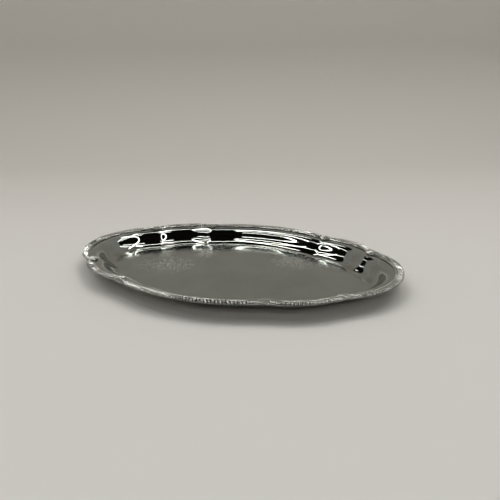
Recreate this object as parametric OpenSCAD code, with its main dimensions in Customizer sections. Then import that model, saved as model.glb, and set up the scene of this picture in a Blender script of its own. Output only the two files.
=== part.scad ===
// Oval vanity tray with an eight-lobed rim: one stamped sheet body, eight gadroon
// border strips and eight shell mounts that cover the joints between the strips.
// The outline is eight arcs that meet in notches. The tray stands on its flat well.

/* [Outline] */
// Overall length of the tray, along X
tray_l = 305; // [250:1:380]
// Overall width of the tray, along Y
tray_w = 210; // [175:1:260]
// Share of the length between the two notches of a long side, in percent
side_share = 43.3; // [40:0.1:46]
// Share of the width between the two notches of an end, in percent
end_share = 54.8; // [51:0.1:58]
// How far a long side bows out past its two notches, in percent of the width
side_bow = 7.6; // [6.5:0.1:9]
// How far an end bows out past its two notches, in percent of the length
end_bow = 10.6; // [9.5:0.1:11.5]
// How far a corner lobe bows out, in percent of the distance between its notches
corner_bow = 10.4; // [9:0.1:11.5]

/* [Sheet body] */
// Thickness of the stamped sheet
sheet_t = 1; // [0.8:0.1:1.4]
// Height of the flange above the well
well_depth = 13.2; // [11:0.2:16]
// Distance from the rim to the edge of the flat well
well_inset = 30.6; // [29:0.2:36]
// Steepest slope of the wall, between its two curves, in degrees
wall_slope = 55; // [50:1:58]
// Radius of the curve from the flange down into the wall
roll_r = 9; // [7:0.5:10]
// Radius of the curve from the wall into the well
well_r = 14; // [11:0.5:15]
// How far the sheet stops inside the outer edge of the border
edge_setback = 0.6; // [0.3:0.1:1]

/* [Border strips] */
// Width of a border strip
border_w = 7.6; // [6.5:0.1:9]
// Thickness of the flat back of a border strip
border_t = 0.9; // [0.7:0.1:1.2]
// Length of one gadroon, across the strip
gadroon_l = 5.6; // [4.5:0.1:6]
// Radius of a gadroon at its full outer end
gadroon_r = 1.15; // [0.9:0.05:1.2]
// Radius of a gadroon at its inner tip
gadroon_tip_r = 0.55; // [0.4:0.05:0.8]
// Distance from one gadroon to the next
gadroon_pitch = 2.8; // [2.7:0.05:3.5]
// How far the gadroons lean over, in degrees
gadroon_lean = 20; // [0:1:24]
// Radius of the thin reed along the inner edge of a strip
reed_r = 0.6; // [0.4:0.05:0.7]

/* [Shell mounts] */
// Length of rim that a mount covers on each side of its notch
mount_reach = 12.5; // [10:0.5:15]
// Clearance between a mount and the ends of the strips
mount_gap = 0.1; // [0.05:0.05:0.3]
// Distance from the root of a shell to the tip of its middle rib
shell_l = 10.4; // [8:0.2:12]
// Number of ribs in a shell
shell_ribs = 5; // [5:2:7]
// Angle that the ribs of a shell spread over
shell_spread = 70; // [60:2:80]
// Radius of the boss at the root of a shell
shell_boss_r = 1.7; // [1.3:0.1:2]
// Height of the boss over the flange
shell_boss_h = 2; // [1.5:0.1:2.4]
// Number of leaves on each arm of a mount
leaf_count = 3; // [2:1:4]
// Distance along the rim from a notch to the first leaf, past the shell
leaf_start = 6.8; // [6.5:0.1:7.5]
// Length of a leaf
leaf_l = 4; // [3:0.1:5]
// Radius of a leaf at its full outer end
leaf_r = 0.7; // [0.5:0.05:0.75]
// Radius of a leaf at its inner tip
leaf_tip_r = 0.4; // [0.3:0.05:0.5]

/* [Hidden] */
$fn = 96;

plate_colour = "#b9bab6";
strip_colour = "#a9aaa6";
shell_colour = "#c9cac6";

// Notches of the front right quarter; the other quarters are mirror images
side_chord = tray_l * side_share / 100;
end_chord = tray_w * end_share / 100;
side_bulge = tray_w * side_bow / 100;
end_bulge = tray_l * end_bow / 100;
side_notch = [side_chord / 2, tray_w / 2 - side_bulge];
end_notch = [tray_l / 2 - end_bulge, end_chord / 2];

// Radius of the arc through two notches that bows out by a bulge
function arc_r(chord, bulge) = (chord * chord / 4 + bulge * bulge) / (2 * bulge);

corner_run = side_notch - end_notch;
corner_chord = norm(corner_run);
corner_bulge = corner_chord * corner_bow / 100;
side_r = arc_r(side_chord, side_bulge);
end_r = arc_r(end_chord, end_bulge);
corner_r = arc_r(corner_chord, corner_bulge);

// Centres of the three kinds of arc, in the quarter where X and Y are positive
side_c = [0, tray_w / 2 - side_r];
end_c = [tray_l / 2 - end_r, 0];
corner_out = [-corner_run[1], corner_run[0]] / corner_chord;
corner_c = (side_notch + end_notch) / 2 - (corner_r - corner_bulge) * [abs(corner_out[0]), abs(corner_out[1])];

flange_z = sheet_t + well_depth;
// How far cutting shapes pass the faces that they cut
lap = 1;
// Flats that each curve of the wall's section is made of
arc_steps = 6;
// Distance that the ornament keeps inside the outer edge of the border
rim_margin = 0.2;
// Distance from the strip's inner edge to the reed
reed_margin = 0.1;
// Height of a gadroon's axis over the back of the strip
gadroon_rise = 0.3;
// Lean of the leaves on a mount, away from the notch, in degrees
leaf_lean = 25;
// Distance along the rim from the first leaf to the last, whose tip ends inside the mount
leaf_span = mount_reach - leaf_start - leaf_l * sin(leaf_lean) - leaf_tip_r - rim_margin;
// Distance from the notch to the point where a shell's plate fans out
shell_root = 0.6;
// How much shorter a rib is for each degree that it turns from the middle one
shell_taper = 0.03;
// Radius of the scallops on the shell's edge: half the space between two ribs, and some lap
shell_tip_r = shell_l * sin(shell_spread / (shell_ribs - 1) / 2) * 0.9;
// Distance from the notch to the start of the ribs, past the boss
rib_start = 2 * shell_boss_r + 0.3;
// How far a rib reaches past the centre of its scallop
rib_past = shell_tip_r * 0.45;
// Radii of a rib, which leave a groove of rib_groove between two of them
rib_groove = 0.12;
rib_root_r = rib_start * sin(shell_spread / (shell_ribs - 1) / 2) - rib_groove;
rib_tip_r = (shell_l - shell_tip_r) * sin(shell_spread / (shell_ribs - 1) / 2) - rib_groove;

function heading(from, to) = atan2(to[1] - from[1], to[0] - from[0]);
function arc_deg(len, r) = len / r * 180 / PI;

// The wall's section, as [inset from the rim, height], from the well up to the flange.
// It follows the sheet's top face; a lower face is the same section moved by the sheet.
wall_drop = well_depth - (roll_r + well_r) * (1 - cos(wall_slope));
wall_run = wall_drop / tan(wall_slope);
roll_inset = well_inset - (roll_r + well_r) * sin(wall_slope) - wall_run;

function top_section() = concat(
    [for (k = [0:arc_steps])
        let (a = wall_slope * k / arc_steps)
        [well_inset - well_r * sin(a), sheet_t + well_r * (1 - cos(a))]],
    [for (k = [arc_steps:-1:0])
        let (a = wall_slope * k / arc_steps)
        [roll_inset + roll_r * sin(a), flange_z - roll_r * (1 - cos(a))]]
);
function under_section() = concat(
    [for (k = [0:arc_steps])
        let (a = wall_slope * k / arc_steps)
        [well_inset - (well_r + sheet_t) * sin(a), (well_r + sheet_t) * (1 - cos(a))]],
    [for (k = [arc_steps:-1:0])
        let (a = wall_slope * k / arc_steps)
        [roll_inset + (roll_r - sheet_t) * sin(a), flange_z - sheet_t - (roll_r - sheet_t) * (1 - cos(a))]]
);

// Solid of revolution of one lobe, filled above the section up to the height top
module bowl(r, section, edge, bottom, top) {
    rotate_extrude($fn = 180)
        polygon(concat(
            [[0, bottom]],
            [for (p = section) [r - p[0], p[1]]],
            edge,
            [[0, top]]
        ));
}

module outer_bowl(r) {
    bowl(r, under_section(), [[r - edge_setback, flange_z - sheet_t], [r - edge_setback, flange_z]], 0, flange_z);
}

module inner_bowl(r) {
    bowl(r, top_section(), [[r - roll_inset, flange_z + lap]], sheet_t, flange_z + lap);
}

// The eight lobes together: two long sides that bound each other, four corners, two ends
module lobes() {
    intersection() {
        translate([0, side_c[1], 0]) children(0);
        translate([0, -side_c[1], 0]) children(0);
    }
    for (sx = [-1, 1]) {
        translate([sx * end_c[0], 0, 0]) children(1);
        for (sy = [-1, 1])
            translate([sx * corner_c[0], sy * corner_c[1], 0]) children(2);
    }
}

module tray_body() {
    color(plate_colour)
        difference() {
            lobes() {
                outer_bowl(side_r);
                outer_bowl(end_r);
                outer_bowl(corner_r);
            }
            lobes() {
                inner_bowl(side_r);
                inner_bowl(end_r);
                inner_bowl(corner_r);
            }
        }
}

// One gadroon: a cone that lies across the strip, with its full end at the rim
module gadroon(r, lean) {
    translate([r - gadroon_r * sin(abs(lean)) - rim_margin, 0, flange_z + border_t + gadroon_rise])
        rotate([0, 0, lean])
            rotate([0, -90, 0])
                cylinder(h = gadroon_l, r1 = gadroon_r, r2 = gadroon_tip_r, $fn = 24);
}

// A border strip on an arc of radius r, between the angles from and to about its centre.
// Its gadroons lean towards both ends from one that stands square in the middle.
module border(c, r, from, to) {
    skip = arc_deg(mount_reach + mount_gap, r);
    first = from + skip;
    span = to - from - 2 * skip;
    pairs = floor((span * PI / 180 * r / gadroon_pitch - 1) / 2);
    count = 2 * pairs + 1;
    color(strip_colour)
        translate([c[0], c[1], 0]) {
            rotate([0, 0, first])
                rotate_extrude(angle = span, $fn = 360)
                    union() {
                        translate([r - border_w, flange_z]) square([border_w, border_t]);
                        translate([r - border_w + reed_r + reed_margin, flange_z + border_t]) circle(reed_r, $fn = 24);
                    }
            for (k = [0:count - 1])
                rotate([0, 0, first + span * (k + 0.5) / count])
                    gadroon(r, gadroon_lean * sign(k - pairs));
        }
}

module side_border(sy) {
    half = heading(side_c, side_notch);
    mirror([0, sy < 0 ? 1 : 0, 0]) border(side_c, side_r, half, 180 - half);
}

module end_border(sx) {
    half = heading(end_c, end_notch);
    mirror([sx < 0 ? 1 : 0, 0, 0]) border(end_c, end_r, -half, half);
}

module corner_border(sx, sy) {
    mirror([sx < 0 ? 1 : 0, 0, 0]) mirror([0, sy < 0 ? 1 : 0, 0])
        border(corner_c, corner_r, heading(corner_c, end_notch), heading(corner_c, side_notch));
}

// The arms of a mount follow the two arcs away from the notch. Each turns away from it
// by the angle way, which is 1 or -1. This is the outline of one arm.
module arm_outline(c, r, notch, way) {
    at = heading(c, notch);
    reach = way * arc_deg(mount_reach, r);
    translate(c)
        intersection() {
            difference() {
                circle(r, $fn = 360);
                circle(r - border_w, $fn = 360);
            }
            polygon([[0, 0], for (a = [at, at + reach]) 1.1 * r * [cos(a), sin(a)]]);
        }
}

// The leaves that lie on one arm
module arm_leaves(c, r, notch, way) {
    at = heading(c, notch);
    translate([c[0], c[1], flange_z + border_t])
        for (k = [0:leaf_count - 1])
            rotate([0, 0, at + way * arc_deg(leaf_start + leaf_span * k / (leaf_count - 1), r)])
                translate([r - leaf_r - rim_margin, 0, 0])
                    rotate([0, 0, -way * leaf_lean])
                        rotate([0, -90, 0])
                            cylinder(h = leaf_l, r1 = leaf_r, r2 = leaf_tip_r, $fn = 24);
}

// Turns of a shell's ribs from the middle one, and the distance from the notch to their ends
rib_turns = [for (k = [0:shell_ribs - 1]) shell_spread * (k / (shell_ribs - 1) - 0.5)];
function rib_end(turn) = shell_l - shell_tip_r - shell_taper * abs(turn);

// Outline of a shell: a fan from the notch towards the well, with a scalloped edge
module shell_outline() {
    polygon(concat([[shell_root, 0]], [for (t = rib_turns) rib_end(t) * [cos(t), sin(t)]]));
    for (t = rib_turns)
        rotate(t) translate([rib_end(t), 0]) circle(shell_tip_r, $fn = 48);
}

// A shell's boss at its root, and its ribs, which lie side by side
module shell_ribs_and_boss() {
    translate([shell_boss_r, 0, 0]) cylinder(h = shell_boss_h, r = shell_boss_r, $fn = 48);
    for (t = rib_turns)
        rotate([0, 0, t])
            translate([rib_start, 0, border_t])
                rotate([0, 90, 0])
                    cylinder(h = rib_end(t) + rib_past - rib_start, r1 = rib_root_r, r2 = rib_tip_r, $fn = 32);
}

// A mount between two lobes that meet at a notch
module mount(notch, c1, r1, c2, r2) {
    inward = heading([0, 0], c1 + c2 - 2 * notch);
    color(shell_colour)
        union() {
            translate([0, 0, flange_z])
                linear_extrude(border_t)
                    union() {
                        arm_outline(c1, r1, notch, 1);
                        arm_outline(c2, r2, notch, -1);
                        translate(notch) rotate(inward) shell_outline();
                    }
            arm_leaves(c1, r1, notch, 1);
            arm_leaves(c2, r2, notch, -1);
            translate([notch[0], notch[1], flange_z])
                rotate([0, 0, inward])
                    shell_ribs_and_boss();
        }
}

// Mounts at the notches of the long sides
module side_mount(sx, sy) {
    mirror([sx < 0 ? 1 : 0, 0, 0]) mirror([0, sy < 0 ? 1 : 0, 0])
        mount(side_notch, side_c, side_r, corner_c, corner_r);
}

// Mounts at the notches of the ends
module end_mount(sx, sy) {
    mirror([sx < 0 ? 1 : 0, 0, 0]) mirror([0, sy < 0 ? 1 : 0, 0])
        mount(end_notch, corner_c, corner_r, end_c, end_r);
}

tray_body();
side_border(-1);  // side_border_front
side_border(1);  // side_border_back
end_border(-1);  // end_border_left
end_border(1);  // end_border_right
corner_border(-1, -1);  // corner_border_front_left
corner_border(1, -1);  // corner_border_front_right
corner_border(-1, 1);  // corner_border_back_left
corner_border(1, 1);  // corner_border_back_right
side_mount(-1, -1);  // shell_mount_front_left
side_mount(1, -1);  // shell_mount_front_right
side_mount(-1, 1);  // shell_mount_back_left
side_mount(1, 1);  // shell_mount_back_right
end_mount(-1, -1);  // shell_mount_left_front
end_mount(-1, 1);  // shell_mount_left_back
end_mount(1, -1);  // shell_mount_right_front
end_mount(1, 1);  // shell_mount_right_back
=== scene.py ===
import math

import bmesh
import bpy
from mathutils import Matrix, Vector


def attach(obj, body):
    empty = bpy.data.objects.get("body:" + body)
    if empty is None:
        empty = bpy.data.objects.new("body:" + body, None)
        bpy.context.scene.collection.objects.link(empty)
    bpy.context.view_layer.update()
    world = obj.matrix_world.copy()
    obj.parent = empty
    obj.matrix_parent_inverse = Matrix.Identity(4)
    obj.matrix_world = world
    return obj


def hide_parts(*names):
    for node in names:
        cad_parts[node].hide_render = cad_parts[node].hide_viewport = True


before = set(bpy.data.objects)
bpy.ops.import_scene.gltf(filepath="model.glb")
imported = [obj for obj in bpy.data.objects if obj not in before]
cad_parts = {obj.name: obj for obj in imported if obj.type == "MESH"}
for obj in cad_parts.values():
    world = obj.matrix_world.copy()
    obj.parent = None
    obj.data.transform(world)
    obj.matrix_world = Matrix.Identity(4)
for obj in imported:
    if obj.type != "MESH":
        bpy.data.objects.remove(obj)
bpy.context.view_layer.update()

MM = 0.001

# ---------------------------------------------------------------- the tray's sizes

# Outline: eight arcs that meet in notches, as in the part's own source (mm)
TRAY_L = 305.0
TRAY_W = 210.0
SIDE_SHARE, END_SHARE = 0.433, 0.548
SIDE_BOW, END_BOW, CORNER_BOW = 0.076, 0.106, 0.104
SIDE_CHORD, SIDE_BULGE = TRAY_L * SIDE_SHARE, TRAY_W * SIDE_BOW
END_CHORD, END_BULGE = TRAY_W * END_SHARE, TRAY_L * END_BOW

# Sheet: flat well, two long curves in the wall, flat flange
SHEET_T = 1.0
WELL_DEPTH = 13.2
WELL_INSET = 30.6
WALL_SLOPE = math.radians(55.0)
ROLL_R = 9.0
WELL_R = 14.0
FLANGE_Z = SHEET_T + WELL_DEPTH
EDGE_SETBACK = 0.6

# Border strips and mounts that lie on the flange
BORDER_W = 7.6
BORDER_H = 2.35
GADROON_PITCH = 2.8
GADROON_LEAN = math.tan(math.radians(22.0))
MOUNT_REACH = 12.5
SHELL_L = 10.4


def arc_radius(chord, bulge):
    return (chord * chord / 4 + bulge * bulge) / (2 * bulge)


SIDE_NOTCH = Vector((SIDE_CHORD / 2, TRAY_W / 2 - SIDE_BULGE))
END_NOTCH = Vector((TRAY_L / 2 - END_BULGE, END_CHORD / 2))
CORNER_RUN = SIDE_NOTCH - END_NOTCH
CORNER_BULGE = CORNER_RUN.length * CORNER_BOW
SIDE_R = arc_radius(SIDE_CHORD, SIDE_BULGE)
END_R = arc_radius(END_CHORD, END_BULGE)
CORNER_R = arc_radius(CORNER_RUN.length, CORNER_BULGE)
CORNER_OUT = Vector((CORNER_RUN.y, -CORNER_RUN.x)).normalized()
CORNER_C = (SIDE_NOTCH + END_NOTCH) / 2 - CORNER_OUT * (CORNER_R - CORNER_BULGE)


class Lobe:
    """One arc of the outline, from one notch to the next, anticlockwise."""

    def __init__(self, centre, radius, start, end):
        self.c = Vector(centre)
        self.r = radius
        self.start = Vector(start)
        self.end = Vector(end)

    def heading(self, point):
        away = point - self.c
        return math.atan2(away.y, away.x)

    def point(self, angle, inset):
        """A point of the plan at an angle about the lobe's centre, inset from the rim."""
        return self.c + (self.r - inset) * Vector((math.cos(angle), math.sin(angle)))

    def sweep(self, start=None, end=None):
        """The first angle and the turn from the start to the end of the lobe."""
        first = self.heading(start or self.start)
        turn = (self.heading(end or self.end) - first) % (2 * math.pi)
        return first, turn


def outline_lobes():
    """The eight lobes, anticlockwise from the right-hand end."""
    sx, sy = SIDE_NOTCH
    ex, ey = END_NOTCH
    cx, cy = CORNER_C
    side_y = TRAY_W / 2 - SIDE_R
    end_x = TRAY_L / 2 - END_R
    return [
        Lobe((end_x, 0), END_R, (ex, -ey), (ex, ey)),
        Lobe((cx, cy), CORNER_R, (ex, ey), (sx, sy)),
        Lobe((0, side_y), SIDE_R, (sx, sy), (-sx, sy)),
        Lobe((-cx, cy), CORNER_R, (-sx, sy), (-ex, ey)),
        Lobe((-end_x, 0), END_R, (-ex, ey), (-ex, -ey)),
        Lobe((-cx, -cy), CORNER_R, (-ex, -ey), (-sx, -sy)),
        Lobe((0, -side_y), SIDE_R, (-sx, -sy), (sx, -sy)),
        Lobe((cx, -cy), CORNER_R, (sx, -sy), (ex, -ey)),
    ]


LOBES = outline_lobes()


def inset_notch(before, after, inset):
    """Where two neighbouring arcs meet once both are inset from the rim."""
    ra, rb = before.r - inset, after.r - inset
    gap = after.c - before.c
    along = (gap.length_squared + ra * ra - rb * rb) / (2 * gap.length)
    across = math.sqrt(max(ra * ra - along * along, 0.0))
    line = gap.normalized()
    foot = before.c + line * along
    side = Vector((-line.y, line.x)) * across
    notch = after.start
    return min((foot + side, foot - side), key=lambda p: (p - notch).length)


# ---------------------------------------------------------------- mesh helpers


def grid_mesh(columns, rows, place, weld=True):
    """A grid whose vertices go where place(column, row) says, in millimetres.

    A fourth number from place says how deep in a hollow of the relief the point lies, where the relief is
    darkened with grime and painted shade; on the paper sweep it says how far it is darkened towards the back
    as painted shade.
    """
    bm = bmesh.new()
    bmesh.ops.create_grid(bm, x_segments=columns, y_segments=rows, size=1.0)
    hollow = bm.verts.layers.float.new("hollow")
    bm.verts.ensure_lookup_table()
    for row in range(rows + 1):
        for column in range(columns + 1):
            vert = bm.verts[row * (columns + 1) + column]
            x, y, z, *depth = place(column, row)
            vert.co = Vector((x, y, z)) * MM
            vert[hollow] = depth[0] if depth else 0.0
    if weld:
        bmesh.ops.remove_doubles(bm, verts=bm.verts, dist=1e-7)
    return bm


def cap_holes(bm):
    """Closes the open ends of a shell."""
    rim = [e for e in bm.edges if e.is_boundary]
    if rim:
        bmesh.ops.holes_fill(bm, edges=rim, sides=0)


def finish_mesh(bm, name, sharp_angle):
    """Turns a bmesh into a smooth-shaded piece whose faces point outwards."""
    bmesh.ops.recalc_face_normals(bm, faces=bm.faces)
    for face in bm.faces:
        face.smooth = True
    for edge in bm.edges:
        if edge.is_manifold and edge.calc_face_angle(0.0) > sharp_angle:
            edge.smooth = False
    mesh = bpy.data.meshes.new(name)
    bm.to_mesh(mesh)
    bm.free()
    piece = bpy.data.objects.new(name, mesh)
    bpy.context.scene.collection.objects.link(piece)
    return piece


def join_into(bm, other):
    """Moves the faces of one bmesh into another."""
    mesh = bpy.data.meshes.new("part")
    other.to_mesh(mesh)
    other.free()
    bm.from_mesh(mesh)
    bpy.data.meshes.remove(mesh)


# ---------------------------------------------------------------- the sheet body

ARC_COLUMN = 1.7      # distance between columns along an arc
NOTCH_COLUMNS = 4     # columns on each side of a notch's soft corner
TOP_STEPS = 13        # rows in each long curve of the wall, seen from above
UNDER_STEPS = 7       # rows in each long curve underneath
RIM_SOFT = 1.1        # how far a notch is rounded at the rim
WALL_SOFT = 3.2       # how much more it is rounded halfway down the wall


def wall_section():
    """Rows of the sheet as (inset, height, softness of the notches), well to rim to underside."""
    drop = WELL_DEPTH - (ROLL_R + WELL_R) * (1 - math.cos(WALL_SLOPE))
    run = drop / math.tan(WALL_SLOPE)
    roll_inset = WELL_INSET - (ROLL_R + WELL_R) * math.sin(WALL_SLOPE) - run

    def soft(inset):
        return RIM_SOFT + WALL_SOFT * math.sin(math.pi * min(max((inset - 4) / 27.0, 0), 1)) ** 1.2

    top = [(WELL_INSET + 2.0, SHEET_T), (WELL_INSET + 1.0, SHEET_T), (WELL_INSET + 0.4, SHEET_T)]
    for k in range(TOP_STEPS + 1):
        a = WALL_SLOPE * k / TOP_STEPS
        top.append((WELL_INSET - WELL_R * math.sin(a), SHEET_T + WELL_R * (1 - math.cos(a))))
    base_inset, base_z = top[-1]
    for share in (0.33, 0.67):
        top.append((base_inset - run * share, base_z + drop * share))
    for k in range(TOP_STEPS, -1, -1):
        a = WALL_SLOPE * k / TOP_STEPS
        top.append((roll_inset + ROLL_R * math.sin(a), FLANGE_Z - ROLL_R * (1 - math.cos(a))))
    top += [(roll_inset - 0.5, FLANGE_Z), (5.0, FLANGE_Z), (1.8, FLANGE_Z), (EDGE_SETBACK + 0.08, FLANGE_Z)]
    # the edge is thinned from below, as (further in, below the flange)
    thinned = ((0.0, 0.08), (0.0, 0.2), (0.15, 0.36), (0.6, 0.62), (1.2, 0.88))
    edge = [(EDGE_SETBACK + further, FLANGE_Z - below) for further, below in thinned]
    under = [(2.6, FLANGE_Z - SHEET_T), (4.0, FLANGE_Z - SHEET_T), (roll_inset - 0.5, FLANGE_Z - SHEET_T)]
    for k in range(UNDER_STEPS + 1):
        a = WALL_SLOPE * k / UNDER_STEPS
        r = ROLL_R - SHEET_T
        under.append((roll_inset + r * math.sin(a), FLANGE_Z - SHEET_T - r * (1 - math.cos(a))))
    for k in range(UNDER_STEPS, -1, -1):
        a = WALL_SLOPE * k / UNDER_STEPS
        r = WELL_R + SHEET_T
        under.append((WELL_INSET - r * math.sin(a), r * (1 - math.cos(a))))
    under += [(WELL_INSET + 0.5, 0.0), (WELL_INSET + 2.0, 0.0)]
    return [(d, z, soft(d)) for d, z in top + edge + under]


def lobe_columns():
    """For each column round the rim: the lobe, and how far along it from notch to notch."""
    columns = []
    for index, lobe in enumerate(LOBES):
        length = lobe.sweep()[1] * lobe.r
        count = round(length / ARC_COLUMN)
        for k in range(NOTCH_COLUMNS):
            columns.append((index, "start", k / NOTCH_COLUMNS))
        for k in range(count):
            columns.append((index, "arc", k / count))
        for k in range(NOTCH_COLUMNS):
            columns.append((index, "end", k / NOTCH_COLUMNS))
    return columns


def soft_corner(corner, near, far, t):
    """A parabola from one point to another that turns by the corner."""
    return near * (1 - t) ** 2 + corner * (2 * t * (1 - t)) + far * t * t


def rim_row(inset, soft, columns):
    """The plan points of one row of the sheet, one for each column."""
    count = len(LOBES)
    notches = [inset_notch(LOBES[i - 1], LOBES[i], inset) for i in range(count)]
    ends = []
    for i, lobe in enumerate(LOBES):
        first, turn = lobe.sweep(start=notches[i], end=notches[(i + 1) % count])
        step = soft / (lobe.r - inset)
        ends.append((first + step, first + turn - step))
    points = []
    for index, zone, t in columns:
        lobe = LOBES[index]
        begin, end = ends[index]
        if zone == "arc":
            points.append(lobe.point(begin + (end - begin) * t, inset))
        elif zone == "start":
            before = LOBES[index - 1].point(ends[index - 1][1], inset)
            points.append(soft_corner(notches[index], before, lobe.point(begin, inset), 0.5 + t / 2))
        else:
            after_index = (index + 1) % count
            after = LOBES[after_index].point(ends[after_index][0], inset)
            points.append(soft_corner(notches[after_index], lobe.point(end, inset), after, t / 2))
    return points


def sheet_body():
    rows = wall_section()
    columns = lobe_columns()
    plan = [rim_row(d, soft, columns) for d, z, soft in rows]

    def place(column, row):
        p = plan[row][column % len(columns)]
        return p.x, p.y, rows[row][1]

    bm = grid_mesh(len(columns), len(rows) - 1, place)
    cap_holes(bm)
    return finish_mesh(bm, "tray_sheet", math.radians(60))


# ---------------------------------------------------------------- border strips

# Rows across a strip: insets of the gadroons' relief, then the trough and the reed beside it
GADROON_ROWS = (0.12, 0.22, 0.4, 0.7, 1.1, 1.6, 2.3, 3.1, 3.9, 4.7, 5.2, 5.6, 5.85)
REED_FROM, REED_TO = 6.0, 7.4
REED_STEPS = 6
GADROON_PHASES = (0.0, 0.075, 0.16, 0.3, 0.5, 0.7, 0.84, 0.925)
GADROON_HEAD = 1.3    # inset where a gadroon is at its fullest
GADROON_TAIL = 5.3    # inset where its inner tip starts to round off
LEAN_FADE = 3.0       # gadroons over which the lean comes and goes


def strip_ground(inset):
    """Height of the ground between the gadroons, lowest at the rim."""
    return 0.12 + 0.36 * min(inset / 3.0, 1.0)


def gadroon_height(inset, phase):
    """Relief of a gadroon: full and round at the rim, narrow and low at its inner tip."""
    if inset < GADROON_HEAD:
        crown = math.sqrt(max(1 - ((GADROON_HEAD - inset) / 1.22) ** 2, 0.0))
    elif inset < GADROON_TAIL:
        crown = 1 - 0.4 * (inset - GADROON_HEAD) / (GADROON_TAIL - GADROON_HEAD)
    else:
        crown = 0.6 * math.sqrt(max(1 - ((inset - GADROON_TAIL) / 0.6) ** 2, 0.0))
    width = 0.86 - 0.26 * max(inset - GADROON_HEAD, 0) / 4.5
    across = min(abs(2 * phase - 1) / width, 1.0)
    return (BORDER_H - strip_ground(inset)) * crown * math.sqrt(1 - across ** 2.1)


def strip_section(phase, bead):
    """One section of a strip as (inset, height, hollow), closed round its flat back."""
    scallop = 0.4 * abs(2 * phase - 1) ** 3
    section = [(0.4, 0.0, 1.0), (0.1 + scallop, 0.1, 0.6)]
    for inset in GADROON_ROWS:
        rise = gadroon_height(inset, phase)
        section.append((max(inset, 0.1 + scallop), strip_ground(inset) + rise, max(1 - rise / 1.1, 0.0)))
    middle = (REED_FROM + REED_TO) / 2
    half = (REED_TO - REED_FROM) / 2
    for k in range(REED_STEPS + 1):
        a = math.pi * k / REED_STEPS
        rise = (0.72 + 0.12 * bead) * math.sin(a)
        section.append((middle - half * math.cos(a), 0.42 + rise, max(1 - rise / 0.4, 0.0)))
    section += [(BORDER_W - 0.05, 0.3, 0.8), (BORDER_W, 0.0, 1.0), (4.0, 0.0, 1.0)]
    return section


def border_strip(name, lobe):
    first, turn = lobe.sweep()
    skip = (MOUNT_REACH + 0.1) / lobe.r
    first += skip
    turn -= 2 * skip
    length = turn * lobe.r
    count = 2 * int((length / GADROON_PITCH - 1) / 2) + 1
    stops = [k + phase for k in range(count) for phase in GADROON_PHASES] + [float(count)]
    sections = [strip_section(stop % 1.0, math.cos(4 * math.pi * stop)) for stop in stops]

    def lean(stop):
        """Gadroons lean towards the middle of the strip and stand square there and at its ends."""
        side = min(max((stop - count / 2) / LEAN_FADE, -1), 1)
        end = min(stop / LEAN_FADE, (count - stop) / LEAN_FADE, 1)
        return -side * end * GADROON_LEAN

    def place(column, row):
        stop = stops[column]
        inset, height, hollow = sections[column][row % len(sections[column])]
        shift = lean(stop) * min(inset, REED_FROM)
        angle = first + (stop / count) * turn + shift / lobe.r
        p = lobe.point(angle, inset)
        return p.x, p.y, FLANGE_Z + height, hollow

    bm = grid_mesh(len(stops) - 1, len(sections[0]), place)
    cap_holes(bm)
    return finish_mesh(bm, name, math.radians(75))


# ---------------------------------------------------------------- shell mounts

ARM_COLUMNS = 18
LEAVES = 4            # on each arm of a mount
LEAF_FIRST, LEAF_PITCH = 4.6, 2.15          # along the arm from the notch
LEAF_INSET = 0.9
LEAF_LENGTH, LEAF_SHORTER = 5.7, 0.25       # the first leaf, and how much shorter each next one is
LEAF_LEAN = 0.3
LEAF_WIDE = 1.15
LEAF_HIGH, LEAF_LOWER = 1.95, 0.05          # the first leaf, and how much lower each next one is
LEAF_LIFT = 0.4
FLUTES = 7
SHELL_SPREAD = math.radians(84)
SHELL_TIP = SHELL_L + 0.2
SHELL_ROOT = 0.8
SHELL_EDGE_ROWS = 4   # rows that turn down over the shell's scalloped edge
SCROLL_AWAY, SCROLL_ASIDE = 3.0, 4.0        # centre of a volute from the notch
SCROLL_R, SCROLL_BAR = 2.2, 0.68
SCROLL_COIL, SCROLL_FROM = math.radians(340), 3.4
SCROLL_LIFT = 1.3
BEAD_AWAY, BEAD_R, BEAD_FLAT, BEAD_LIFT = 1.6, 1.35, 0.8, 0.9


def arm_relief(lobe, notch, way):
    """The plate of one arm: a raised outer lip, a hollow, and a reed along the inner edge."""
    at = lobe.heading(notch)
    section = [(0.35, 0.0), (0.12, 0.25), (0.2, 0.9), (0.55, 1.35), (1.0, 1.3), (1.4, 0.8), (1.9, 0.42),
               (4.0, 0.36), (5.9, 0.42), (6.2, 0.8), (6.7, 1.12), (7.2, 0.85), (7.55, 0.35), (BORDER_W, 0.0),
               (4.0, 0.0)]

    def place(column, row):
        inset, height = section[row % len(section)]
        along = column / ARM_COLUMNS
        swell = 1 + 0.35 * math.exp(-(along / 0.25) ** 2) if inset < 1.5 else 1.0
        angle = at + way * MOUNT_REACH * along / lobe.r
        p = lobe.point(angle, inset)
        return p.x, p.y, FLANGE_Z + height * swell, max(1 - height / 0.9, 0.0)

    bm = grid_mesh(ARM_COLUMNS, len(section), place)
    cap_holes(bm)
    return bm


def leaf(lobe, notch, way, along, length, height):
    """A pointed leaf that lies on an arm and curls away from the shell, from its round root to its tip."""
    at = lobe.heading(notch)
    columns, rows = 9, 10

    def place(column, row):
        t = column / columns
        a = 2 * math.pi * (row % rows) / rows
        spread = LEAF_WIDE * math.sin(math.pi * (0.1 + 0.9 * t) ** 0.75) + 0.02
        rise = height * math.sin(math.pi * (0.08 + 0.9 * t) ** 0.7) + 0.02
        curl = LEAF_LEAN * (0.6 * t + 0.6 * t * t)
        side = spread * math.cos(a)
        up = max(rise * math.sin(a), -0.1) + LEAF_LIFT
        angle = at + way * (along + curl * length + side * 0.95) / lobe.r
        p = lobe.point(angle, LEAF_INSET + length * t + side * 0.25)
        return p.x, p.y, FLANGE_Z + up, max(0.9 - up, 0.0)

    bm = grid_mesh(columns, rows, place)
    cap_holes(bm)
    return bm


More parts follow.
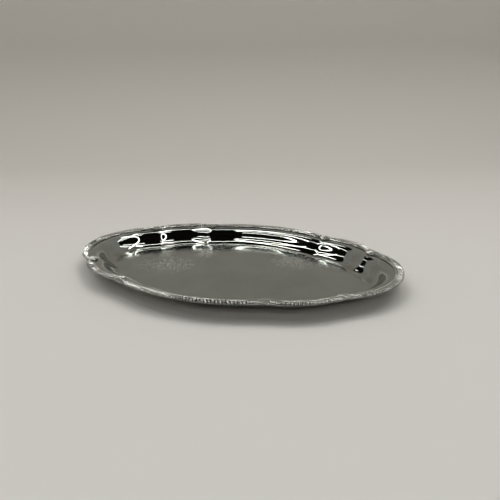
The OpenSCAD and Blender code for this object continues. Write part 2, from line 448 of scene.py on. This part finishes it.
def shell_fan(notch, inward):
    """A scallop shell that fans out from the notch: flutes, a scalloped edge and a domed crown."""
    columns, rows = FLUTES * 8, 18
    edge_row = rows - SHELL_EDGE_ROWS

    def place(column, row):
        u = column / columns
        phase = (u * FLUTES) % 1.0
        arch = math.sin(math.pi * phase) ** 0.6 if 0.01 < phase < 0.99 else 0.0
        turn = (u - 0.5) * SHELL_SPREAD
        tip = SHELL_TIP * (0.84 + 0.16 * arch) * (1 - 0.2 * (2 * u - 1) ** 2)
        t = min(row / edge_row, 1.0)
        reach = SHELL_ROOT + (tip - SHELL_ROOT) * t
        dome = 0.95 + 1.25 * math.sin(math.pi * (t * 0.72 + 0.2)) ** 0.8
        height = dome * (0.5 + 0.5 * arch) if t > 0.15 else dome * (0.8 + 0.2 * arch)
        down = row - edge_row
        if down == 1:
            reach, height = tip, height * 0.45
        elif down > 1:
            reach, height = tip * (1 - (down - 1) / (SHELL_EDGE_ROWS - 1)), 0.0
        hollow = (1 - arch) * min(t * 2, 1.0)
        angle = inward + turn
        return notch.x + reach * math.cos(angle), notch.y + reach * math.sin(angle), FLANGE_Z + height, hollow

    bm = grid_mesh(columns, rows, place)
    cap_holes(bm)
    return bm


def scroll(notch, inward, way):
    """A volute beside the root of the shell: a round bar rolled into a spiral."""
    columns, rows = 30, 8

    def place(column, row):
        t = column / columns
        a = 2 * math.pi * (row % rows) / rows
        coil = SCROLL_COIL * t
        radius = SCROLL_R * (1 - 0.74 * t)
        thick = SCROLL_BAR * (1 - 0.4 * t)
        centre = Vector((SCROLL_AWAY, SCROLL_ASIDE * way))
        ray = Vector((math.cos(coil + SCROLL_FROM), way * math.sin(coil + SCROLL_FROM)))
        p = centre + ray * (radius + thick * math.cos(a))
        z = SCROLL_LIFT + thick * 1.1 * math.sin(a)
        spun = Matrix.Rotation(inward, 2) @ p
        return notch.x + spun.x, notch.y + spun.y, FLANGE_Z + max(z, 0.3), max(0.5 - 0.5 * math.sin(a), 0.0)

    bm = grid_mesh(columns, rows, place)
    cap_holes(bm)
    return bm


def root_bead(notch, inward):
    """A flattened bead over the root of the shell."""
    bm = bmesh.new()
    bm.verts.layers.float.new("hollow")
    bmesh.ops.create_uvsphere(bm, u_segments=14, v_segments=8, radius=BEAD_R * MM)
    spun = Matrix.Rotation(inward, 2) @ Vector((BEAD_AWAY, 0.0))
    bmesh.ops.scale(bm, vec=(1, 1, BEAD_FLAT), verts=bm.verts)
    middle = Vector((notch.x + spun.x, notch.y + spun.y, FLANGE_Z + BEAD_LIFT)) * MM
    bmesh.ops.translate(bm, vec=middle, verts=bm.verts)
    return bm


def shell_mount(name, before, after):
    notch = after.start
    toward = (before.c - notch).normalized() + (after.c - notch).normalized()
    inward = math.atan2(toward.y, toward.x)
    bm = bmesh.new()
    bm.verts.layers.float.new("hollow")
    for lobe, way in ((before, -1), (after, 1)):
        join_into(bm, arm_relief(lobe, notch, way))
        for k in range(LEAVES):
            along = LEAF_FIRST + LEAF_PITCH * k
            length = LEAF_LENGTH - LEAF_SHORTER * k
            height = LEAF_HIGH - LEAF_LOWER * k
            join_into(bm, leaf(lobe, notch, way, along, length, height))
    join_into(bm, shell_fan(notch, inward))
    for way in (-1, 1):
        join_into(bm, scroll(notch, inward, way))
    join_into(bm, root_bead(notch, inward))
    return finish_mesh(bm, name, math.radians(60))


# ---------------------------------------------------------------- materials


def linear(hex_colour):
    """An sRGB hex colour as linear RGBA."""
    parts = [int(hex_colour[i:i + 2], 16) / 255 for i in (1, 3, 5)]
    return [c / 12.92 if c <= 0.04045 else ((c + 0.055) / 1.055) ** 2.4 for c in parts] + [1.0]


def add_node(tree, kind, sockets, output=0, **settings):
    """Adds a node and gives one of its outputs.

    Sockets take values or other outputs, in order from a list, or by name or number from a dict.
    """
    node = tree.nodes.new("ShaderNode" + kind)
    for name, value in settings.items():
        setattr(node, name, value)
    for key, value in (sockets.items() if isinstance(sockets, dict) else enumerate(sockets)):
        if isinstance(value, bpy.types.NodeSocket):
            tree.links.new(value, node.inputs[key])
        else:
            node.inputs[key].default_value = value
    return node.outputs[output] if node.outputs else None


def new_material(name):
    material = bpy.data.materials.new(name)
    material.use_nodes = True
    tree = material.node_tree
    tree.nodes.clear()
    return material, tree


def grain(size):
    """The scale of a pattern whose features are this many millimetres across."""
    return 1 / (size * MM)


# Where a Mix node that blends two colours has its amount, its colours and its result
MIX_BY, MIX_LOW, MIX_HIGH, MIX_OUT = 0, 6, 7, 2

# Heights over the well, in millimetres, where the well's wear and its ring of grime and painted shade begin
# and are full
WEAR_FROM, WEAR_FULL = 0.4, 0.05
GRIME_AND_SHADE_FROM, GRIME_AND_SHADE_FULL = 3.2, 0.3
WALL_ROUGH, WELL_ROUGH = 0.028, 0.14
WAVE_DEPTH, SCRATCH_DEPTH = 0.5, 0.004
# Hairlines from wiping: turn, width, length (mm) and the level above which one shows. Real ones are far
# finer, and these are drawn as coarse as they need to be to show.
SCRATCH_EDGE = 0.05
SCRATCHES = ((0.45, 0.3846, 45.45, 0.66), (-0.6, 0.4348, 38.46, 0.67), (1.5, 0.5263, 62.5, 0.69))
# Rub marks in the well, rougher and painted pale as a painted highlight: middle x and y, half width and half
# depth (mm)
RUB_MARKS = ((47.0, 42.0, 34.0, 30.0), (-44.0, 40.0, 13.0, 30.0), (-66.0, -8.0, 40.0, 34.0))
MARK_PALE_AND_GLINT, MARK_ROUGH, SCRATCH_ROUGH = 0.65, 0.45, 0.12


def hairlines(tree, where, turn, width, length, keep):
    """Fine straight scratches in one direction: 1 on a scratch, 0 between."""
    laid = add_node(tree, "Mapping", {"Vector": where, "Rotation": (0, 0, turn),
                                      "Scale": (grain(width), grain(length), 1.0)})
    noise = add_node(tree, "TexNoise", {"Vector": laid, "Scale": 1.0, "Detail": 3.0, "Roughness": 0.6})
    return add_node(tree, "MapRange", [noise, keep, keep + SCRATCH_EDGE])


def rubbed_spot(tree, where, x, y, wide, deep):
    """A patch that fades out from its middle, placed on the tray in millimetres."""
    size = (grain(wide), grain(deep), 0.0)
    shift = (-x * MM * size[0], -y * MM * size[1], 0.0)
    laid = add_node(tree, "Mapping", {"Vector": where, "Location": shift, "Scale": size})
    return add_node(tree, "TexGradient", {"Vector": laid}, "Fac", gradient_type="SPHERICAL")


def plated_sheet():
    """Chrome plate on the sheet: a dark clear mirror in the wall, hazy and finely scratched in the well, with
    grime and painted shade where the wall meets the well and a painted highlight on the rub marks.
    """
    material, tree = new_material("chrome_plated_sheet")
    where = add_node(tree, "TexCoord", {}, "Object")
    height = add_node(tree, "SeparateXYZ", [where], "Z")
    well = add_node(tree, "MapRange", [height, (SHEET_T + WEAR_FROM) * MM, (SHEET_T + WEAR_FULL) * MM])
    ring = add_node(tree, "MapRange", [height, (SHEET_T + GRIME_AND_SHADE_FROM) * MM, (SHEET_T + GRIME_AND_SHADE_FULL) * MM])
    # the plate's own tone, a little mottled where it has been wiped
    cloud = add_node(tree, "TexNoise", {"Vector": where, "Scale": grain(41.667), "Detail": 4.0,
                                        "Roughness": 0.55})
    mottle = add_node(tree, "MapRange", [cloud, 0.35, 0.7])
    tone = add_node(tree, "Mix", {MIX_BY: mottle, MIX_LOW: linear("#a7aaa5"), MIX_HIGH: linear("#9c9f9b")},
                    MIX_OUT, data_type="RGBA")
    # brown grime and painted shade that darken the crease where the wall meets the well, in patches
    off_well = add_node(tree, "Math", [1.0, well], operation="SUBTRACT")
    ring = add_node(tree, "Math", [ring, off_well], operation="MULTIPLY")
    grime = add_node(tree, "TexNoise", {"Vector": where, "Scale": grain(11.111), "Detail": 3.0})
    patchy = add_node(tree, "MapRange", [grime, 0.4, 0.7, 0.1, 0.6])
    grime_and_shade = add_node(tree, "Math", [ring, patchy], operation="MULTIPLY")
    tone = add_node(tree, "Mix", {MIX_BY: grime_and_shade, MIX_LOW: tone, MIX_HIGH: linear("#6d6152")},
                    MIX_OUT, data_type="RGBA")
    # hairline scratches, only in the well
    scratched = 0.0
    for scratch in SCRATCHES:
        lines = hairlines(tree, where, *scratch)
        scratched = add_node(tree, "Math", [scratched, lines], operation="MAXIMUM")
    scratched = add_node(tree, "Math", [scratched, well], operation="MULTIPLY")
    # swirled rub marks: rougher, and painted pale as a painted highlight of light caught in their scratches
    rubbed = 0.0
    for mark in RUB_MARKS:
        spot = rubbed_spot(tree, where, *mark)
        rubbed = add_node(tree, "Math", [rubbed, spot], operation="MAXIMUM")
    curls = add_node(tree, "TexNoise", {"Vector": where, "Scale": grain(2.381), "Detail": 4.0,
                                        "Distortion": 2.6})
    curl_lines = add_node(tree, "MapRange", [curls, 0.52, 0.6])
    rubbed = add_node(tree, "Math", [rubbed, curl_lines], operation="MULTIPLY")
    # small bright specks of worn plate
    cells = add_node(tree, "TexVoronoi", {"Vector": where, "Scale": grain(5.263), "Randomness": 1.0},
                     "Distance")
    dots = add_node(tree, "MapRange", [cells, 0.09, 0.04])
    worn = add_node(tree, "MapRange", [cloud, 0.5, 0.62])
    specks = add_node(tree, "Math", [dots, worn], operation="MULTIPLY")
    marks = add_node(tree, "Math", [rubbed, specks], operation="MAXIMUM")
    marks = add_node(tree, "Math", [marks, well], operation="MULTIPLY")
    # the marks are painted pale: a painted highlight on the rub marks, and the worn plate's colour on the
    # specks
    pale_and_glint = add_node(tree, "Math", [marks, MARK_PALE_AND_GLINT], operation="MULTIPLY")
    tone = add_node(tree, "Mix", {MIX_BY: pale_and_glint, MIX_LOW: tone, MIX_HIGH: linear("#e6e7e2")},
                    MIX_OUT, data_type="RGBA")
    # clear in the wall, hazier in the well, haziest on scratches and marks
    haze = add_node(tree, "MapRange", [well, 0.0, 1.0, WALL_ROUGH, WELL_ROUGH])
    rough = add_node(tree, "Math", [scratched, SCRATCH_ROUGH, haze], operation="MULTIPLY_ADD")
    rough = add_node(tree, "Math", [marks, MARK_ROUGH, rough], operation="MULTIPLY_ADD", use_clamp=True)
    # long shallow waves of pressed sheet under the scratches
    waves = add_node(tree, "TexNoise", {"Vector": where, "Scale": grain(38.46), "Detail": 2.0})
    swell = add_node(tree, "Math", [waves, WAVE_DEPTH * MM], operation="MULTIPLY")
    relief = add_node(tree, "Math", [scratched, -SCRATCH_DEPTH * MM, swell], operation="MULTIPLY_ADD")
    bump = add_node(tree, "Bump", {"Strength": 0.25, "Distance": 1.0, "Height": relief})
    shader = add_node(tree, "BsdfPrincipled", {"Metallic": 1.0, "Base Color": tone, "Roughness": rough,
                                               "Normal": bump})
    add_node(tree, "OutputMaterial", {"Surface": shader})
    return material


def plated_relief(name, bright, dull, grime_and_shade_tone):
    """Chrome plate on the die-struck work: bright crests, and hollows darkened almost to black with dull
    grime and painted shade.
    """
    material, tree = new_material(name)
    where = add_node(tree, "TexCoord", {}, "Object")
    hollow = add_node(tree, "Attribute", {}, "Fac", attribute_name="hollow")
    patches = add_node(tree, "TexNoise", {"Vector": where, "Scale": grain(4.1667), "Detail": 3.0})
    wiped = add_node(tree, "MapRange", [patches, 0.35, 0.75])
    tone = add_node(tree, "Mix", {MIX_BY: wiped, MIX_LOW: linear(bright), MIX_HIGH: linear(dull)},
                    MIX_OUT, data_type="RGBA")
    # grime and painted shade in the hollows, thinner in patches
    depth = add_node(tree, "MapRange", [hollow, 0.2, 0.7])
    left = add_node(tree, "MapRange", [patches, 0.3, 0.5, 0.75, 1.0])
    deep = add_node(tree, "Math", [depth, left], operation="MULTIPLY")
    tone = add_node(tree, "Mix", {MIX_BY: deep, MIX_LOW: tone, MIX_HIGH: linear(grime_and_shade_tone)},
                    MIX_OUT, data_type="RGBA")
    grimy = add_node(tree, "MapRange", [deep, 0.0, 1.0, 0.07, 0.5])
    dulled = add_node(tree, "MapRange", [patches, 0.4, 0.7, 0.0, 0.06])
    rough = add_node(tree, "Math", [grimy, dulled], operation="ADD")
    pits = add_node(tree, "TexNoise", {"Vector": where, "Scale": grain(0.66667), "Detail": 2.0})
    bump = add_node(tree, "Bump", {"Strength": 0.3, "Distance": 0.05 * MM, "Height": pits})
    shader = add_node(tree, "BsdfPrincipled", {"Metallic": 1.0, "Base Color": tone, "Roughness": rough,
                                               "Normal": bump})
    add_node(tree, "OutputMaterial", {"Surface": shader})
    return material


# ---------------------------------------------------------------- making the pieces

SHEET_PLATE = plated_sheet()
# the last colour of each relief plate is the near-black of grime and painted shade in its hollows
BORDER_PLATE = plated_relief("chrome_plated_border", "#cfd0cb", "#b2b3ae", "#23211d")
MOUNT_PLATE = plated_relief("chrome_plated_mount", "#d2d3ce", "#b4b5b0", "#262420")

sheet = sheet_body()
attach(sheet, "root")
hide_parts("tray_body")
sheet.data.materials.append(SHEET_PLATE)

STRIPS = ("end_border_right", "corner_border_back_right", "side_border_back", "corner_border_back_left",
          "end_border_left", "corner_border_front_left", "side_border_front", "corner_border_front_right")
for node_name, lobe in zip(STRIPS, LOBES):
    strip = border_strip("gadroon_" + node_name, lobe)
    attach(strip, "root")
    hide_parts(node_name)
    strip.data.materials.append(BORDER_PLATE)

MOUNTS = ("right_front", "right_back", "back_right", "back_left",
          "left_back", "left_front", "front_left", "front_right")
for index, place_name in enumerate(MOUNTS):
    mount = shell_mount("shell_" + place_name, LOBES[index - 1], LOBES[index])
    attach(mount, "root")
    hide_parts("shell_mount_" + place_name)
    mount.data.materials.append(MOUNT_PLATE)

# ---------------------------------------------------------------- floor, light and camera

VIEW_AZIMUTH = math.radians(23.3)
VIEW_PITCH = math.radians(18.3)
VIEW_ROLL = math.radians(-0.69)
VIEW_AIM = Vector((8.5, 20.3, 15.4)) * MM
VIEW_DISTANCE = 0.492
VIEW_SENSOR, VIEW_LENS = 36.0, 37.44


def view_turn():
    """Turns the stage so that its depth runs along the camera's line of sight."""
    return Matrix.Rotation(VIEW_AZIMUTH, 4, "Z")


def stage_piece(bm, name, near, far, roughness):
    """Puts a piece of the studio in place, turned to the camera's line of sight."""
    bmesh.ops.transform(bm, matrix=view_turn(), verts=bm.verts)
    for face in bm.faces:
        face.smooth = True
    mesh = bpy.data.meshes.new(name)
    bm.to_mesh(mesh)
    bm.free()
    piece = bpy.data.objects.new(name, mesh)
    bpy.context.scene.collection.objects.link(piece)
    material, tree = new_material(name)
    # the colour runs from near to far by the stored number: on the paper sweep this is painted shade, darker
    # towards the back and up the backdrop
    depth = add_node(tree, "Attribute", {}, "Fac", attribute_name="hollow")
    tone = add_node(tree, "Mix", {MIX_BY: depth, MIX_LOW: linear(near), MIX_HIGH: linear(far)},
                    MIX_OUT, data_type="RGBA")
    shader = add_node(tree, "BsdfPrincipled", {"Base Color": tone, "Roughness": roughness,
                                               "Specular IOR Level": 0.1})
    add_node(tree, "OutputMaterial", {"Surface": shader})
    mesh.materials.append(material)


BEND_Y = 0.60         # the sweep starts to rise this far behind the tray
BEND_R = 0.24
BEND_STEPS = 12
WALL_TOP = 0.67
CEILING_Z = 1.5
# The dark ceiling and its lamps, as (right, away) per unit of height above the tray
CEILING = ((-1.8, -2.2), (1.8, -2.2), (1.5, 0.46), (-0.05, 0.55), (-0.08, 1.12), (-1.0, 0.58), (-1.62, 0.62))
LAMPS = (((-0.26, 0.8), (-0.16, 0.0)), ((0.17, 0.7), (0.72, -0.75)), ((-1.03, 0.2), (1.16, 0.49)),
         ((-1.17, 0.59), (-0.19, -0.19)), ((0.17, -0.01), (1.08, 0.28)), ((-0.01, 0.55), (0.24, 0.25)),
         ((-0.34, -0.55), (-1.42, 0.04)), ((-1.2, -1.15), (1.3, -1.3)), ((-0.9, -1.8), (1.0, -1.7)))
LAMP_WIDE = 0.022      # width of a lamp per unit of height
LAMP_GLOW = 19.0       # brightness of the lamps' faces
LAMP_DROP = 0.02       # how far the lamps hang below the ceiling


def paper_sweep():
    """A pale floor that curves up into a low backdrop behind the tray, painted darker towards the back and up
    the backdrop as painted shade.
    """
    profile = [(-4.0, 0.0, 0.0), (-0.4, 0.0, 0.0), (-0.15, 0.0, 0.2), (0.0, 0.0, 0.35), (0.15, 0.0, 0.5),
               (0.35, 0.0, 0.75), (BEND_Y, 0.0, 1.0)]
    for k in range(1, BEND_STEPS + 1):
        a = math.pi / 2 * k / BEND_STEPS
        profile.append((BEND_Y + BEND_R * math.sin(a), BEND_R * (1 - math.cos(a)), 1.0))
    profile.append((BEND_Y + BEND_R, WALL_TOP, 1.0))
    xs = (-4.0, -1.0, 0.0, 1.0, 4.0)

    def place(column, row):
        y, z, far = profile[row]
        return xs[column] / MM, y / MM, z / MM, far

    bm = grid_mesh(len(xs) - 1, len(profile) - 1, place, weld=False)
    stage_piece(bm, "matt_paper_sweep", "#f2f0ec", "#cac7c1", 0.9)


def dark_ceiling():
    """A dark ceiling over the tray with long narrow lamps hung just below it."""
    bm = bmesh.new()
    corners = [bm.verts.new((x * CEILING_Z, y * CEILING_Z, CEILING_Z + LAMP_DROP)) for x, y in CEILING]
    bm.faces.new(corners)
    stage_piece(bm, "dark_ceiling", "#1a1915", "#1a1915", 1.0)
    for k, (start, end) in enumerate(LAMPS):
        a, b = Vector(start) * CEILING_Z, Vector(end) * CEILING_Z
        lamp = bpy.data.lights.new("lamp_%d" % k, "AREA")
        lamp.shape = "RECTANGLE"
        lamp.size = (b - a).length
        lamp.size_y = LAMP_WIDE * CEILING_Z
        lamp.energy = LAMP_GLOW * math.pi * lamp.size * lamp.size_y
        lamp.color = (1.0, 0.99, 0.97)
        turn = Matrix.Rotation(math.atan2(b.y - a.y, b.x - a.x), 4, "Z")
        holder = bpy.data.objects.new(lamp.name, lamp)
        holder.matrix_world = view_turn() @ Matrix.Translation((*((a + b) / 2), CEILING_Z)) @ turn
        bpy.context.scene.collection.objects.link(holder)


def studio_world():
    """Soft light from all round, dimmer from the front of the room."""
    world = bpy.data.worlds.new("studio")
    bpy.context.scene.world = world
    world.use_nodes = True
    tree = world.node_tree
    tree.nodes.clear()
    away = Vector((-math.sin(VIEW_AZIMUTH), math.cos(VIEW_AZIMUTH), 0.0))
    heading = add_node(tree, "TexCoord", {}, "Generated")
    facing = add_node(tree, "VectorMath", [heading, away], "Value", operation="DOT_PRODUCT")
    turned = add_node(tree, "MapRange", [facing, -0.35, 0.25])
    colour = add_node(tree, "Mix", {MIX_BY: turned, MIX_LOW: linear("#86847e"), MIX_HIGH: linear("#a3a19d")},
                      MIX_OUT, data_type="RGBA")
    back = add_node(tree, "Background", {"Color": colour, "Strength": 1.0})
    add_node(tree, "OutputWorld", {"Surface": back})


def place_camera():
    data = bpy.data.cameras.new("view")
    data.sensor_width = VIEW_SENSOR
    data.lens = VIEW_LENS
    camera = bpy.data.objects.new("view", data)
    bpy.context.scene.collection.objects.link(camera)
    away = Vector((math.sin(VIEW_AZIMUTH) * math.cos(VIEW_PITCH),
                   -math.cos(VIEW_AZIMUTH) * math.cos(VIEW_PITCH), math.sin(VIEW_PITCH)))
    turn = (-away).to_track_quat("-Z", "Y").to_matrix().to_4x4() @ Matrix.Rotation(VIEW_ROLL, 4, "Z")
    camera.matrix_world = Matrix.Translation(VIEW_AIM + away * VIEW_DISTANCE) @ turn
    bpy.context.scene.camera = camera


paper_sweep()
dark_ceiling()
studio_world()
place_camera()
bpy.context.scene.view_settings.view_transform = "Standard"
